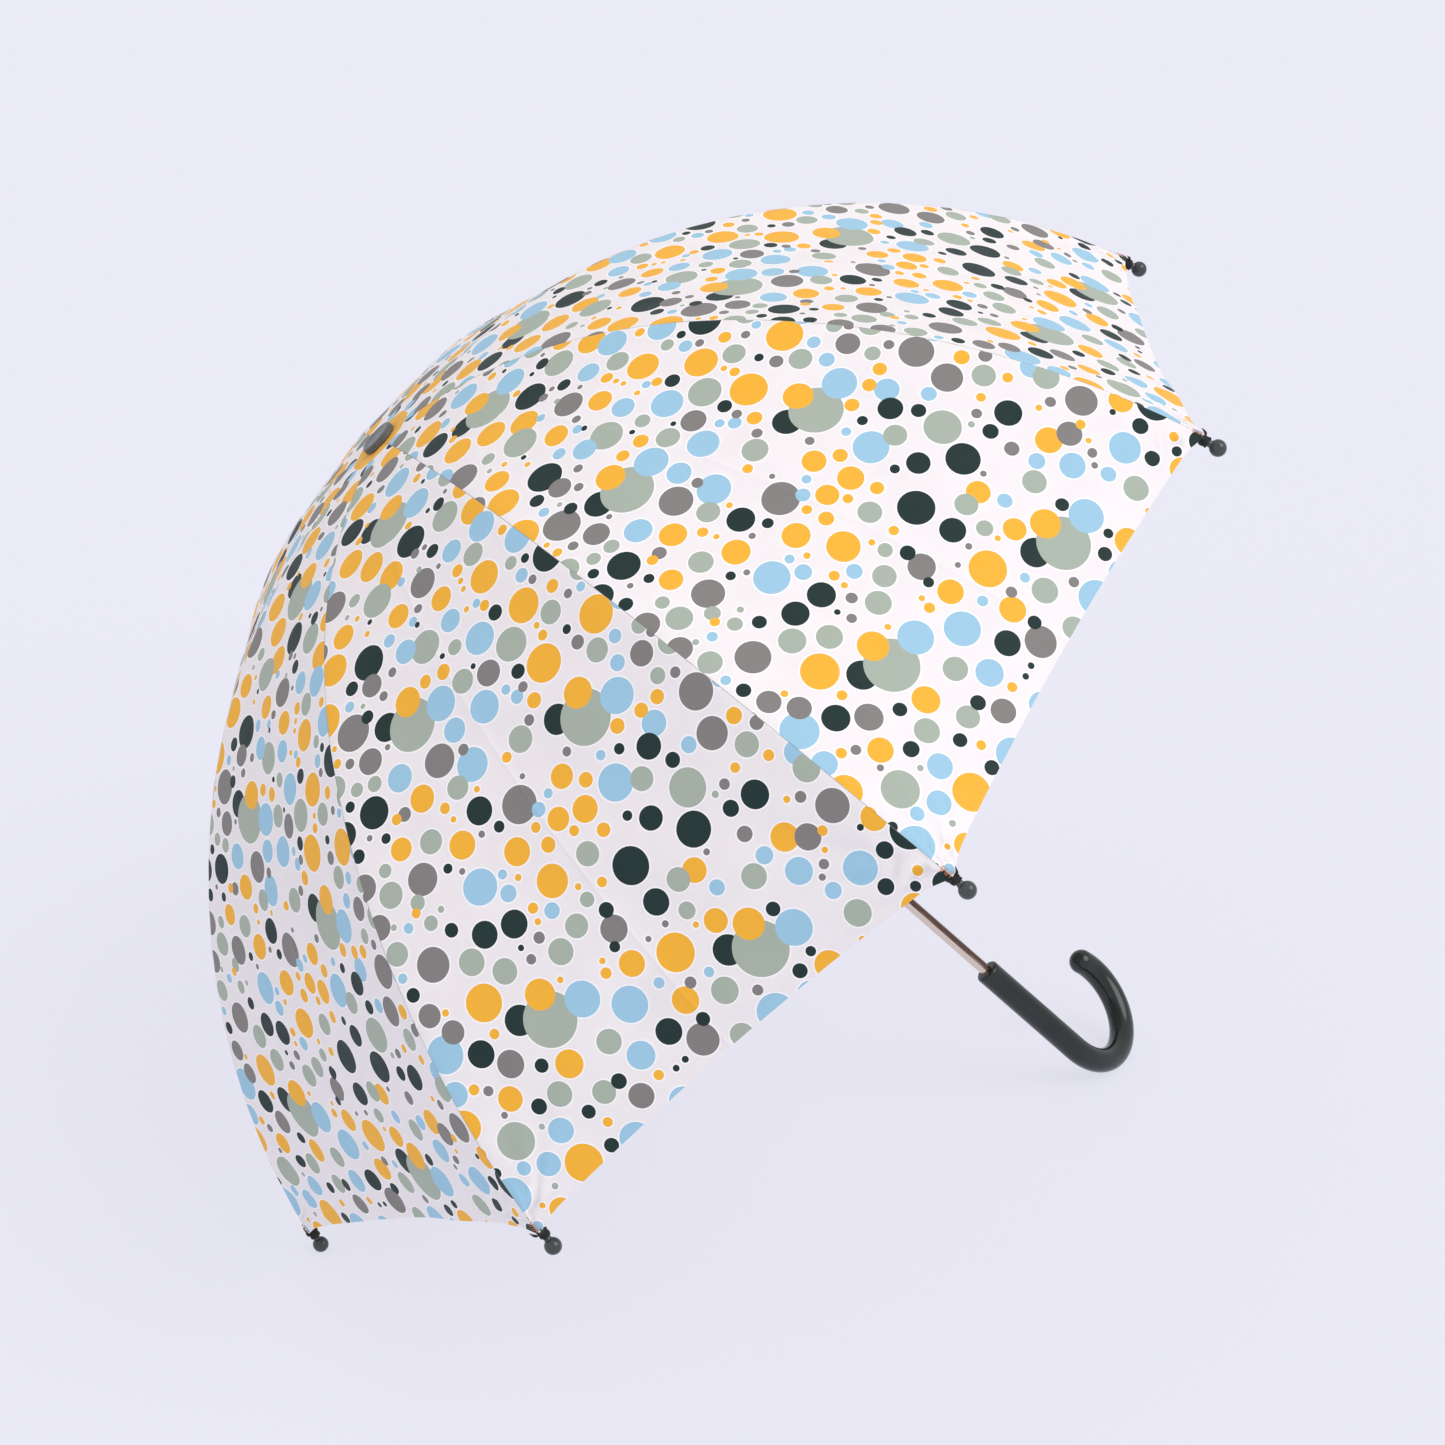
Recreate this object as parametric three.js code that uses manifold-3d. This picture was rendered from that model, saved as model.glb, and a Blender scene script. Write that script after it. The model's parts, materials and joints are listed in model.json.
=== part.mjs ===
// A child's dome umbrella with eight ribs, open and lying on the ground.
//
// It rests on two neighbouring rib tips and on the bend of its crook handle, as
// an open umbrella does when it is put down. Millimetres, +Z up. The shaft leans
// in the XZ plane with its crown towards -X, and the origin is the middle of the
// bounding box's bottom.
//
// Every piece is made in the umbrella's own frame: z runs up the shaft, z = 0 is
// the canopy's top, and +x is the side that faces the ground. The ribs stand at
// odd multiples of half a gore, so that no rib lies in the plane of the lean.

import * as THREE from 'three';
import { mergeVertices, mergeGeometries } from 'three/addons/utils/BufferGeometryUtils.js';
import Module from 'manifold-3d';

const wasm = await Module();
wasm.setup();

// ---------------------------------------------------------------- dimensions

const RIBS = 8;
const GORE_ANGLE = (2 * Math.PI) / RIBS;
const HALF_GORE = GORE_ANGLE / 2;
const degrees = Math.PI / 180;

// The seam line over each rib: two arcs that meet smoothly at the stretcher joint.
const UPPER_LENGTH = 218;
const UPPER_RADIUS = 338;
const LOWER_LENGTH = 265;
const LOWER_RADIUS = 424;
const RIB_LENGTH = UPPER_LENGTH + LOWER_LENGTH;
const START_SLOPE = -2 * degrees;
const START_RADIUS = 10.6;
const UPPER_STEPS = 7;
const LOWER_STEPS = 7;

const CANOPY_THICKNESS = 0.8;
const CANOPY_HOLE_RADIUS = 4.6;
const SEAM_GAP = 0.4;
const SAG_SPAN = 20000; // a gore of width w dips by w * w / SAG_SPAN at its middle
const HEM_RISE = 5;
const HEM_MARGIN = 3;
const CLEARANCE = 0.35;

const RIB_WIDTH = 2.8;
const RIB_HEIGHT = 2.2;
const RIB_WALL = 0.55;
const RIB_GAP = 1.35; // under the seam, where the two gores slope down past the rib's edges
const RIB_DEPTH = CANOPY_THICKNESS + RIB_GAP + RIB_HEIGHT / 2; // seam line to rib centre line

const PIVOT_RADIUS = 9.5;
const EYE_RADIUS = 1.7;
const EYE_HOLE_RADIUS = 0.9;
const TONGUE_THICKNESS = 1;
const RIVET_RADIUS = 0.6;
const RIVET_HEAD_RADIUS = 1.15;
const RIVET_HEAD_THICKNESS = 0.6;

const STRETCHER_WIDTH = 2;
const STRETCHER_HEIGHT = 1.8;
const FORK_GAP = 3.6;
const FORK_WALL = 0.6;
const FORK_REACH = 8;

const SHAFT_RADIUS = 3.5;
const SHAFT_WALL = 0.7;
const SHAFT_TOP = 2.4;
const SHAFT_IN_HANDLE = 32;

const CAP_RADIUS = 10.8;
const CAP_BOTTOM = 0.3;
const CAP_TOP = 4.1;

const NOTCH_RADIUS = 11.5;
const NOTCH_CORE = 7;
const NOTCH_SLOT = 1.8;
const NOTCH_RING_WIRE = 0.5;

const RUNNER_RADIUS = 11.5;
const RUNNER_CORE = 6.9;
const RUNNER_SLOT = 2.9;
const RUNNER_HUB_HALF = 3;
const RUNNER_RING_RADIUS = 7.7;
const RUNNER_RING_WIRE = 0.45;
const SLEEVE_RADIUS = 6;
const SLEEVE_LENGTH = 64;
const FLANGE_RADIUS = 8.8;
const FLANGE_HEIGHT = 4;
const KEYWAY_WIDTH = 1.9;
const KEYWAY_RADIUS = 6.3;

const CATCH_THICKNESS = 1;
const CATCH_REACH = 5.8;
const CATCH_NOSE = 9;
const CATCH_LEAF = 30;
const CATCH_AZIMUTH = -90 * degrees; // between two ribs, to one side of the lying umbrella

const TIP_RADIUS = 4.9;
const TIP_OFFSET = 9.5;
const TIP_NECK_RADIUS = 2.1;
const TANG_RADIUS = 0.8;
const TANG_LENGTH = 5;

const HANDLE_RADIUS = 7.7;
const HANDLE_GAP = 226; // along the shaft, from the rib ends to the handle's top
const GRIP_LENGTH = 81;
const CROOK_RADIUS = 34.5;
const CROOK_SWEEP = 197 * degrees;
const CROOK_TURN = 68.5 * degrees; // the hook's plane, turned about the shaft from upright

const STRAP_LENGTH = 120;
const STRAP_WIDTH = 16;
const STRAP_THICKNESS = 1;
const STRAP_GORE = 6;
const STRAP_LIFT = 1.8; // over the gore's face

// ---------------------------------------------------------------- rib outline

// The seam line's point at distance s from the hub, as radius, height and slope.
function seamPoint(s) {
  if (s < 0) return { r: START_RADIUS + s, z: 0, slope: 0 };
  const bend = START_SLOPE + Math.min(s, UPPER_LENGTH) / UPPER_RADIUS;
  let r = START_RADIUS + UPPER_RADIUS * (Math.sin(bend) - Math.sin(START_SLOPE));
  let z = UPPER_RADIUS * (Math.cos(bend) - Math.cos(START_SLOPE));
  if (s <= UPPER_LENGTH) return { r, z, slope: bend };
  const slope = bend + (s - UPPER_LENGTH) / LOWER_RADIUS;
  r += LOWER_RADIUS * (Math.sin(slope) - Math.sin(bend));
  z += LOWER_RADIUS * (Math.cos(slope) - Math.cos(bend));
  return { r, z, slope };
}

// A point at a given depth inside the seam line, in the rib's own XZ plane.
function ribPoint(s, depth = RIB_DEPTH) {
  const { r, z, slope } = seamPoint(s);
  return new THREE.Vector3(r - depth * Math.sin(slope), 0, z - depth * Math.cos(slope));
}

class RibCurve extends THREE.Curve {
  constructor(from, to) {
    super();
    this.from = from;
    this.to = to;
  }
  getPoint(t, target = new THREE.Vector3()) {
    return target.copy(ribPoint(this.from + (this.to - this.from) * t));
  }
}

const hubPivot = new THREE.Vector3(PIVOT_RADIUS, 0, -RIB_DEPTH);
const jointPivot = ribPoint(UPPER_LENGTH);
const arm = jointPivot.clone().sub(hubPivot);
const ARM_LENGTH = arm.length();
const OPEN_ANGLE = Math.atan2(arm.x, -arm.z); // from the shaft, looking down it
const runnerZ = hubPivot.z - 2 * ARM_LENGTH * Math.cos(OPEN_ANGLE);
const handleTopZ = seamPoint(RIB_LENGTH).z - HANDLE_GAP;

// ---------------------------------------------------------------- helpers

function toSolid(geometry) {
  const bare = geometry.index ? geometry.clone() : mergeGeometries([geometry]);
  bare.deleteAttribute('normal');
  bare.deleteAttribute('uv');
  const welded = mergeVertices(bare, 1e-4);
  const vertProperties = new Float32Array(welded.attributes.position.array);
  const triVerts = new Uint32Array(welded.index.array);
  return new wasm.Manifold(new wasm.Mesh({ numProp: 3, vertProperties, triVerts }));
}

function toGeometry(solid) {
  const mesh = solid.getMesh();
  const geometry = new THREE.BufferGeometry();
  geometry.setAttribute('position', new THREE.BufferAttribute(mesh.vertProperties, 3));
  geometry.setIndex(new THREE.BufferAttribute(mesh.triVerts, 1));
  return geometry;
}

function join(...geometries) {
  return toGeometry(geometries.map(toSolid).reduce((whole, next) => whole.add(next)));
}

function cut(geometry, ...tools) {
  return toGeometry(tools.map(toSolid).reduce((rest, tool) => rest.subtract(tool), toSolid(geometry)));
}

function cylinderBetween(start, end, radius, sides = 16) {
  const axis = end.clone().sub(start);
  const geometry = new THREE.CylinderGeometry(radius, radius, axis.length(), sides);
  const turn = new THREE.Quaternion().setFromUnitVectors(new THREE.Vector3(0, 1, 0), axis.clone().normalize());
  geometry.applyQuaternion(turn);
  return geometry.translate(...start.clone().add(end).multiplyScalar(0.5).toArray());
}

// A plate with round ends, lying in the XZ plane and centred on y.
function linkPlate(start, end, radius, thickness, y = 0) {
  const span = end.clone().sub(start);
  const length = span.length();
  const shape = new THREE.Shape();
  shape.absarc(0, 0, radius, Math.PI / 2, (3 * Math.PI) / 2, false);
  shape.absarc(length, 0, radius, -Math.PI / 2, Math.PI / 2, false);
  const geometry = new THREE.ExtrudeGeometry(shape, {
    depth: thickness, bevelEnabled: false, curveSegments: 2,
  });
  geometry.translate(0, 0, -thickness / 2);
  geometry.rotateX(Math.PI / 2);
  geometry.rotateY(-Math.atan2(span.z, span.x));
  return geometry.translate(start.x, y, start.z);
}

// A pin across the rib's plane.
function crossPin(centre, radius, halfLength, sides = 10) {
  const side = new THREE.Vector3(0, halfLength, 0);
  return cylinderBetween(centre.clone().sub(side), centre.clone().add(side), radius, sides);
}

// A ring turned about the shaft from a rectangular section.
function turnedRing(inner, outer, bottom, top, sides = 24) {
  const outline = [[inner, bottom], [outer, bottom], [outer, top], [inner, top], [inner, bottom]];
  const geometry = new THREE.LatheGeometry(outline.map(([r, z]) => new THREE.Vector2(r, z)), sides);
  return geometry.rotateX(Math.PI / 2);
}

// A solid turned about the shaft: the outline runs up from the axis and back to it.
function turnedSolid(outline, sides = 32) {
  const geometry = new THREE.LatheGeometry(outline.map(([r, z]) => new THREE.Vector2(r, z)), sides);
  return geometry.rotateX(Math.PI / 2);
}

// The channel that ribs and stretchers are rolled to, open towards the shaft.
function channelShape(width, height, wall) {
  const w = width / 2;
  const h = height / 2;
  const outline = [
    [-w, -h], [w, -h], [w, h], [w - wall, h], [w - wall, wall - h], [wall - w, wall - h], [wall - w, h], [-w, h],
  ];
  return new THREE.Shape(outline.map(([x, y]) => new THREE.Vector2(x, y)));
}

function channelAlong(curve, steps, width, height, wall) {
  const options = { steps, extrudePath: curve, bevelEnabled: false };
  return new THREE.ExtrudeGeometry(channelShape(width, height, wall), options);
}

// ---------------------------------------------------------------- materials

const materials = {
  cloth: { color: 0xf4f0f2, roughness: 0.7, metalness: 0 },
  chrome: { color: 0xd8d2cc, roughness: 0.18, metalness: 1 },
  ribSteel: { color: 0xb9bcc0, roughness: 0.35, metalness: 0.9 },
  darkPlastic: { color: 0x2f3b3d, roughness: 0.3, metalness: 0 },
  nylon: { color: 0x1d2122, roughness: 0.5, metalness: 0 },
  spring: { color: 0xc4c6c8, roughness: 0.3, metalness: 1 },
};

function part(name, geometry, material) {
  const mesh = new THREE.Mesh(geometry, new THREE.MeshStandardMaterial(materials[material]));
  mesh.name = name;
  return mesh;
}

// ---------------------------------------------------------------- shaft and handle

function shaftGeometry() {
  const bottom = handleTopZ - SHAFT_IN_HANDLE;
  const tube = turnedRing(SHAFT_RADIUS - SHAFT_WALL, SHAFT_RADIUS, bottom, SHAFT_TOP, 20);
  const slots = [topCatch, bottomCatch].map((spring) => {
    const slot = new THREE.BoxGeometry(SHAFT_RADIUS, CATCH_THICKNESS + 0.7, CATCH_NOSE + 2.4);
    slot.translate(SHAFT_RADIUS, 0, spring.noseZ - (spring.down * CATCH_NOSE) / 2);
    return slot.rotateZ(CATCH_AZIMUTH);
  });
  return cut(tube, ...slots);
}

function crookDirection() {
  return new THREE.Vector3(-Math.cos(CROOK_TURN), -Math.sin(CROOK_TURN), 0);
}

class CrookCurve extends THREE.Curve {
  getPoint(t, target = new THREE.Vector3()) {
    const arc = CROOK_RADIUS * CROOK_SWEEP;
    const distance = t * (GRIP_LENGTH + arc);
    const turn = Math.max(0, distance - GRIP_LENGTH) / CROOK_RADIUS;
    const drop = Math.min(distance, GRIP_LENGTH) + CROOK_RADIUS * Math.sin(turn);
    const out = CROOK_RADIUS * (1 - Math.cos(turn));
    return target.copy(crookDirection()).multiplyScalar(out).add(new THREE.Vector3(0, 0, handleTopZ - drop));
  }
}

function handleGeometry() {
  const curve = new CrookCurve();
  const section = new THREE.Shape().absarc(0, 0, HANDLE_RADIUS, 0, 2 * Math.PI, false);
  const body = new THREE.ExtrudeGeometry(section, {
    steps: 24, extrudePath: curve, bevelEnabled: false, curveSegments: 7,
  });
  const end = new THREE.SphereGeometry(HANDLE_RADIUS - 0.02, 14, 8).translate(...curve.getPoint(1).toArray());
  const bore = cylinderBetween(
    new THREE.Vector3(0, 0, handleTopZ - SHAFT_IN_HANDLE - CLEARANCE),
    new THREE.Vector3(0, 0, handleTopZ + 1), SHAFT_RADIUS + CLEARANCE, 20);
  return cut(join(body, end), bore);
}

function capGeometry() {
  const bore = SHAFT_RADIUS + CLEARANCE;
  const boreTop = SHAFT_TOP + CLEARANCE;
  return turnedSolid([
    [0, boreTop], [bore, boreTop], [bore, CAP_BOTTOM], [CAP_RADIUS - 0.5, CAP_BOTTOM],
    [CAP_RADIUS, CAP_BOTTOM + 0.5], [CAP_RADIUS, CAP_TOP - 0.8], [CAP_RADIUS - 0.8, CAP_TOP], [0, CAP_TOP],
  ], 28);
}

// ---------------------------------------------------------------- hubs

// A toothed hub: one slot for each rib, a bore for the shaft, a groove for its wire ring.
function hubGeometry(spec) {
  const { radius, core, slot, bottom, top, ringRadius, ringWire } = spec;
  const disc = turnedRing(SHAFT_RADIUS + CLEARANCE, radius, bottom, top);
  const depth = radius - core;
  const cuts = Array.from({ length: RIBS }, (_, k) => {
    const tooth = new THREE.BoxGeometry(depth + 2, slot, top - bottom + 2);
    tooth.translate(core + (depth + 2) / 2, 0, (top + bottom) / 2);
    return tooth.rotateZ(ribAzimuth(k));
  });
  const side = ringWire + CLEARANCE;
  const groove = turnedRing(ringRadius - side, ringRadius + side, bottom - 1, spec.pivotZ + side);
  return cut(disc, groove, ...cuts);
}

function ringGeometry(radius, wire, z) {
  return new THREE.TorusGeometry(radius, wire, 5, 24).translate(0, 0, z);
}

function notchGeometry() {
  return hubGeometry({
    radius: NOTCH_RADIUS, core: NOTCH_CORE, slot: NOTCH_SLOT, pivotZ: hubPivot.z,
    bottom: hubPivot.z - 1.6, top: -CANOPY_THICKNESS - 0.35, ringRadius: PIVOT_RADIUS, ringWire: NOTCH_RING_WIRE,
  });
}

function runnerGeometry() {
  const hub = hubGeometry({
    radius: RUNNER_RADIUS, core: RUNNER_CORE, slot: RUNNER_SLOT, pivotZ: runnerZ,
    bottom: runnerZ - RUNNER_HUB_HALF, top: runnerZ + RUNNER_HUB_HALF,
    ringRadius: RUNNER_RING_RADIUS, ringWire: RUNNER_RING_WIRE,
  });
  const bore = SHAFT_RADIUS + CLEARANCE;
  const bottom = runnerZ - SLEEVE_LENGTH;
  const sleeve = turnedRing(bore, SLEEVE_RADIUS, bottom, runnerZ + RUNNER_HUB_HALF);
  const flange = turnedRing(bore, FLANGE_RADIUS, bottom, bottom + FLANGE_HEIGHT);
  const keyway = new THREE.BoxGeometry(KEYWAY_RADIUS, KEYWAY_WIDTH, SLEEVE_LENGTH + RUNNER_HUB_HALF + 2);
  keyway.translate(KEYWAY_RADIUS / 2, 0, (bottom + runnerZ + RUNNER_HUB_HALF) / 2);
  const flangeGap = new THREE.BoxGeometry(FLANGE_RADIUS, KEYWAY_WIDTH, FLANGE_HEIGHT + 2);
  flangeGap.translate(SLEEVE_RADIUS + FLANGE_RADIUS / 2, 0, bottom + FLANGE_HEIGHT / 2);
  return cut(join(hub, sleeve, flange), keyway.rotateZ(CATCH_AZIMUTH), flangeGap.rotateZ(CATCH_AZIMUTH));
}

// ---------------------------------------------------------------- spring catches

// noseZ is the square end of the nose; down is 1 where the nose tapers downwards from it.
const topCatch = { noseZ: runnerZ - SLEEVE_LENGTH - 1.5, down: 1 };
const bottomCatch = { noseZ: handleTopZ + 28, down: -1 };

function catchGeometry({ noseZ, down }) {
  const inner = 1;
  const outer = SHAFT_RADIUS - SHAFT_WALL - 0.5;
  const shape = new THREE.Shape([
    [inner, 0], [CATCH_REACH - 0.8, 0], [CATCH_REACH, 0.8], [outer, CATCH_NOSE],
    [outer, CATCH_NOSE + CATCH_LEAF], [inner, CATCH_NOSE + CATCH_LEAF],
  ].map(([x, y]) => new THREE.Vector2(x, -down * y)));
  const geometry = new THREE.ExtrudeGeometry(shape, { depth: CATCH_THICKNESS, bevelEnabled: false });
  geometry.translate(0, 0, -CATCH_THICKNESS / 2).rotateX(Math.PI / 2);
  return geometry.translate(0, 0, noseZ).rotateZ(CATCH_AZIMUTH);
}

// ---------------------------------------------------------------- ribs and stretchers

function ribAzimuth(k) {
  return HALF_GORE + k * GORE_ANGLE;
}

function ribUpperGeometry() {
  const from = seamDistanceAt(NOTCH_RADIUS + 1.3);
  const to = UPPER_LENGTH - 5;
  const channel = channelAlong(new RibCurve(from, to), UPPER_STEPS, RIB_WIDTH, RIB_HEIGHT, RIB_WALL);
  const innerTongue = linkPlate(hubPivot, ribPoint(from + 6), EYE_RADIUS - 0.75, TONGUE_THICKNESS);
  const outerTongue = linkPlate(ribPoint(to - 6), jointPivot, EYE_RADIUS - 0.75, TONGUE_THICKNESS);
  const eyes = [hubPivot, jointPivot].map((centre) => crossPin(centre, EYE_RADIUS, TONGUE_THICKNESS / 2, 8));
  const holes = [hubPivot, jointPivot].map((centre) => crossPin(centre, EYE_HOLE_RADIUS, TONGUE_THICKNESS, 6));
  return cut(join(channel, innerTongue, outerTongue, ...eyes), ...holes);
}

function ribLowerGeometry() {
  const from = UPPER_LENGTH + 3;
  const to = RIB_LENGTH - 3;
  const channel = channelAlong(new RibCurve(from, to), LOWER_STEPS, RIB_WIDTH, RIB_HEIGHT, RIB_WALL);
  const cheekY = (RIB_WIDTH - RIB_WALL) / 2;
  const cheeks = [-cheekY, cheekY].map(
    (y) => linkPlate(jointPivot, ribPoint(from + 4), RIB_HEIGHT / 2, RIB_WALL, y));
  const tang = cylinderBetween(ribPoint(to - 4), ribPoint(RIB_LENGTH + TANG_LENGTH), TANG_RADIUS, 6);
  const hole = crossPin(jointPivot, EYE_HOLE_RADIUS, RIB_WIDTH, 6);
  return cut(join(channel, ...cheeks, tang), hole);
}

function stretcherGeometry() {
  const inner = new THREE.Vector3(PIVOT_RADIUS, 0, runnerZ);
  const along = jointPivot.clone().sub(inner).normalize();
  const at = (distance) => inner.clone().addScaledVector(along, distance);
  const barEnd = at(ARM_LENGTH - FORK_REACH);
  const bar = channelAlong(new THREE.LineCurve3(at(4.2), barEnd), 1, STRETCHER_WIDTH, STRETCHER_HEIGHT, 0.5);
  const tongue = linkPlate(at(1), at(9), 0.7, TONGUE_THICKNESS);
  const forkY = (FORK_GAP + FORK_WALL) / 2;
  const prongs = [-forkY, forkY].map((y) => linkPlate(barEnd, jointPivot, EYE_RADIUS - 0.3, FORK_WALL, y));
  const yoke = linkPlate(at(ARM_LENGTH - FORK_REACH - 1), barEnd, 0.8, FORK_GAP + 2 * FORK_WALL);
  const hole = crossPin(jointPivot, EYE_HOLE_RADIUS, FORK_GAP, 6);
  return cut(join(bar, tongue, yoke, ...prongs), hole);
}

function rivetGeometry() {
  const half = FORK_GAP / 2 + FORK_WALL + CLEARANCE;
  const shank = crossPin(jointPivot, RIVET_RADIUS, half + 0.1, 6);
  const heads = [-1, 1].map((side) => {
    const head = crossPin(jointPivot, RIVET_HEAD_RADIUS, RIVET_HEAD_THICKNESS / 2, 8);
    return head.translate(0, side * (half + RIVET_HEAD_THICKNESS / 2), 0);
  });
  return join(shank, ...heads);
}

function tipGeometry() {
  const start = ribPoint(RIB_LENGTH);
  const direction = start.clone().sub(ribPoint(RIB_LENGTH - 4)).normalize();
  const at = (distance) => start.clone().addScaledVector(direction, distance);
  const ball = new THREE.SphereGeometry(TIP_RADIUS, 12, 8).translate(...at(TIP_OFFSET).toArray());
  const neck = cylinderBetween(at(-1.5), at(TIP_OFFSET - 2), TIP_NECK_RADIUS, 8);
  const bore = cylinderBetween(at(-3), at(TANG_LENGTH + 0.5), TANG_RADIUS + CLEARANCE, 6);
  return cut(join(ball, neck), bore);
}

// Distance along the seam line at which the rib's centre line reaches a radius.
function seamDistanceAt(radius) {
  let s = 0;
  while (ribPoint(s).x < radius) s += 0.05;
  return s;
}

// ---------------------------------------------------------------- canopy

// A point of a gore: s along the seam, side from -1 to 1 across it, depth under its face.
function gorePoint(s, side, depth) {
  const { r, z, slope } = seamPoint(s);
  const width = 2 * r * Math.sin(HALF_GORE);
  const dip = ((width * width) / SAG_SPAN) * (1 - side * side) + depth;
  const x = r * Math.cos(HALF_GORE) - dip * Math.sin(slope);
  const halfWidth = x * Math.tan(HALF_GORE) + ((dip - depth) * Math.sin(slope)) * Math.tan(HALF_GORE);
  return new THREE.Vector3(x, side * (halfWidth - SEAM_GAP / 2), z - dip * Math.cos(slope));
}

// Where a gore's hem lies: it rises towards the crown between two tips.
function hemDistance(side) {
  return RIB_LENGTH - HEM_MARGIN - HEM_RISE * (1 - side * side);
}

function goreGeometry() {
  const steps = UPPER_STEPS + LOWER_STEPS;
  const geometry = new THREE.BoxGeometry(2, 1, 1, 2, steps, 1);
  const start = CANOPY_HOLE_RADIUS - START_RADIUS;
  const points = geometry.attributes.position;
  for (let i = 0; i < points.count; i += 1) {
    const side = -points.getX(i);
    const s = start + (points.getY(i) + 0.5) * (hemDistance(side) - start);
    const depth = points.getZ(i) > 0 ? 0 : CANOPY_THICKNESS;
    points.setXYZ(i, ...gorePoint(s, side, depth).toArray());
  }
  return geometry;
}

// ---------------------------------------------------------------- closing strap

// The strap lies on one gore beside its middle, with its sewn end at the hem.
function strapPoint(along, across, height) {
  const halfWidth = seamPoint(RIB_LENGTH).r * Math.sin(HALF_GORE);
  const side = 0.4 + across / halfWidth;
  const s = hemDistance(0) - 6 - along;
  const width = 2 * seamPoint(s).r * Math.sin(HALF_GORE);
  const local = (side * halfWidth * 2) / width;
  return gorePoint(s, local, -height);
}

function strapGeometry() {
  const geometry = new THREE.BoxGeometry(1, 1, 1, 1, 6, 1);
  const points = geometry.attributes.position;
  for (let i = 0; i < points.count; i += 1) {
    const height = STRAP_LIFT + (points.getZ(i) > 0 ? STRAP_THICKNESS : 0);
    const along = (0.5 - points.getY(i)) * STRAP_LENGTH;
    points.setXYZ(i, ...strapPoint(along, -points.getX(i) * STRAP_WIDTH, height).toArray());
  }
  return geometry;
}

// ---------------------------------------------------------------- assembly

// The lean at which two neighbouring tips and the crook's bend touch the ground together.
function restingLean() {
  const end = seamPoint(RIB_LENGTH);
  const tip = ribPoint(RIB_LENGTH);
  const tipX = (tip.x + TIP_OFFSET * Math.cos(end.slope)) * Math.cos(HALF_GORE);
  const tipZ = tip.z - TIP_OFFSET * Math.sin(end.slope);
  const rise = Math.cos(CROOK_TURN);
  const gap = (lean) => {
    const turn = Math.atan2(Math.sin(lean), rise * Math.cos(lean));
    const drop = (GRIP_LENGTH - handleTopZ + CROOK_RADIUS * Math.sin(turn)) * Math.sin(lean);
    const lift = CROOK_RADIUS * (1 - Math.cos(turn)) * rise * Math.cos(lean);
    const crook = lift - drop - HANDLE_RADIUS;
    const tips = tipZ * Math.sin(lean) - tipX * Math.cos(lean) - TIP_RADIUS;
    return crook - tips;
  };
  let low = 20 * degrees;
  let high = 70 * degrees;
  for (let step = 0; step < 60; step += 1) {
    const middle = (low + high) / 2;
    if (gap(middle) > 0) low = middle;
    else high = middle;
  }
  return low;
}

function turned(azimuth, ...meshes) {
  const group = new THREE.Group();
  group.rotation.z = azimuth;
  group.add(...meshes);
  return group;
}

const umbrella = new THREE.Group();
umbrella.add(
  part('shaft', shaftGeometry(), 'chrome'),
  part('crook_handle', handleGeometry(), 'darkPlastic'),
  part('top_cap', capGeometry(), 'darkPlastic'),
  part('top_notch', notchGeometry(), 'nylon'),
  part('notch_ring', ringGeometry(PIVOT_RADIUS, NOTCH_RING_WIRE, hubPivot.z), 'spring'),
  part('runner', runnerGeometry(), 'nylon'),
  part('runner_ring', ringGeometry(RUNNER_RING_RADIUS, RUNNER_RING_WIRE, runnerZ), 'spring'),
  part('top_catch', catchGeometry(topCatch), 'spring'),
  part('bottom_catch', catchGeometry(bottomCatch), 'spring'),
);
for (let k = 0; k < RIBS; k += 1) {
  umbrella.add(
    turned(
      ribAzimuth(k),
      part(`rib_upper_${k + 1}`, ribUpperGeometry(), 'ribSteel'),
      part(`rib_lower_${k + 1}`, ribLowerGeometry(), 'ribSteel'),
      part(`stretcher_${k + 1}`, stretcherGeometry(), 'ribSteel'),
      part(`rib_rivet_${k + 1}`, rivetGeometry(), 'spring'),
      part(`rib_tip_${k + 1}`, tipGeometry(), 'darkPlastic'),
    ),
    turned(ribAzimuth(k) + HALF_GORE, part(`gore_${k + 1}`, goreGeometry(), 'cloth')),
  );
}
umbrella.add(turned(ribAzimuth(STRAP_GORE - 1) + HALF_GORE, part('closing_strap', strapGeometry(), 'cloth')));

// Lay the umbrella down: the shaft's upper end towards -X, its +x side to the ground.
const lean = restingLean();
const down = new THREE.Vector3(-Math.sin(lean), 0, -Math.cos(lean));
const up = new THREE.Vector3(-Math.cos(lean), 0, Math.sin(lean));
umbrella.quaternion.setFromRotationMatrix(new THREE.Matrix4().makeBasis(down, up.clone().cross(down), up));

const object = new THREE.Group();
object.add(umbrella);
object.updateMatrixWorld(true);
const box = new THREE.Box3().setFromObject(object, true);
umbrella.position.set(-(box.min.x + box.max.x) / 2, -(box.min.y + box.max.y) / 2, -box.min.z);

export default object;
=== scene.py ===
"""A child's dome umbrella, open and lying on its side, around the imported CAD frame.

Everything is in metres. The umbrella's own frame has z up the shaft, z = 0 at the
canopy's top and +x on the side that faces the ground; TO_ROW takes it to the row frame.
"""
import json
import math

import bpy
import numpy as np
from mathutils import Matrix, Vector


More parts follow.
